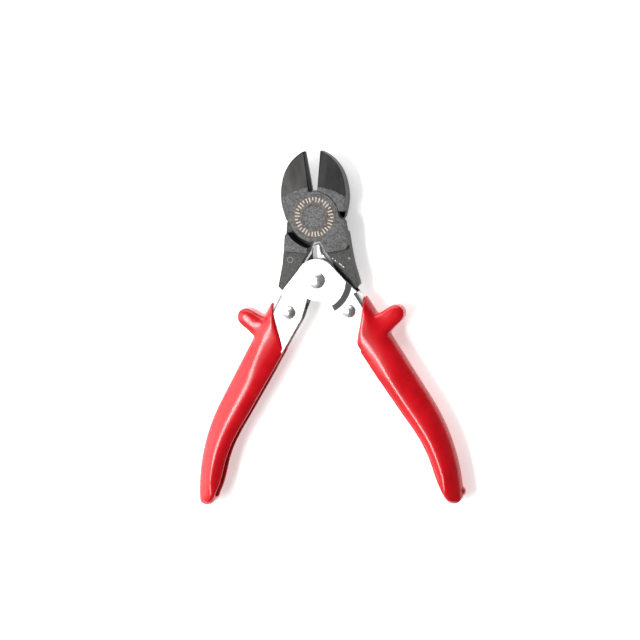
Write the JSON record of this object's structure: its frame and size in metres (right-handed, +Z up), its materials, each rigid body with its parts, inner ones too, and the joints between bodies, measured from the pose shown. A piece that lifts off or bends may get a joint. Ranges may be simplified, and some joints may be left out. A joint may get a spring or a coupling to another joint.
{
  "type": "flush cutter",
  "caption": "Hand-held flush cutter with compound leverage: two lapped jaws, two pressed channel handles in dipped grips, and a strip return spring.",
  "frame": {"origin": "centre of the tool's outline when open, on the face it rests on", "axes": "+Y from the grips to the blade tips, +Z up through the thickness, +X to the right handle"},
  "size_m": [0.1278, 0.1663, 0.015],
  "materials": {
    "jaw_steel": "rough forged, ground on the blades",
    "pin_steel": "ground",
    "handle_plate": "bright zinc or nickel plating, satin",
    "grip_red": "glossy dipped vinyl",
    "rivet_steel": "bright plating",
    "spring_steel": "bright strip"
  },
  "bodies": {
    "left_side": {"left_handle": "handle_plate", "left_grip": "grip_red", "left_link_rivet": "rivet_steel", "handle_rivet": "rivet_steel", "handle_bush": "pin_steel"},
    "right_side": {"right_handle": "handle_plate", "right_grip": "grip_red", "right_link_rivet": "rivet_steel"},
    "back_jaw_body": {"back_jaw": "jaw_steel", "jaw_pin": "pin_steel", "return_spring": "spring_steel"},
    "front_jaw_body": {"front_jaw": "jaw_steel"}
  },
  "joints": [
    {"name": "handle_pivot", "type": "hinge", "parent": "left_side", "child": "right_side", "pos_m": [0, 0.02346, 0.0075], "axis": [0, 0, -1], "range_deg": [0, 35.1], "stiffness_Nm_per_rad": 0.5, "springref_deg": -17.19},
    {"name": "left_link_pivot", "type": "hinge", "parent": "left_side", "child": "back_jaw_body", "pos_m": [-0.0144, 0.00846, 0.0075], "axis": [0, 0, -1], "range_deg": [0, 11]},
    {"name": "jaw_pivot", "type": "hinge", "parent": "back_jaw_body", "child": "front_jaw_body", "pos_m": [0, 0.05286, 0.0075], "axis": [0, 0, -1], "range_deg": [0, 13.2], "deforming": ["return_spring"]}
  ],
  "couplings": [
    {"joint": "left_link_pivot", "follows": "handle_pivot", "ratio": 0.3121},
    {"joint": "jaw_pivot", "follows": "handle_pivot", "ratio": 0.3757}
  ]
}
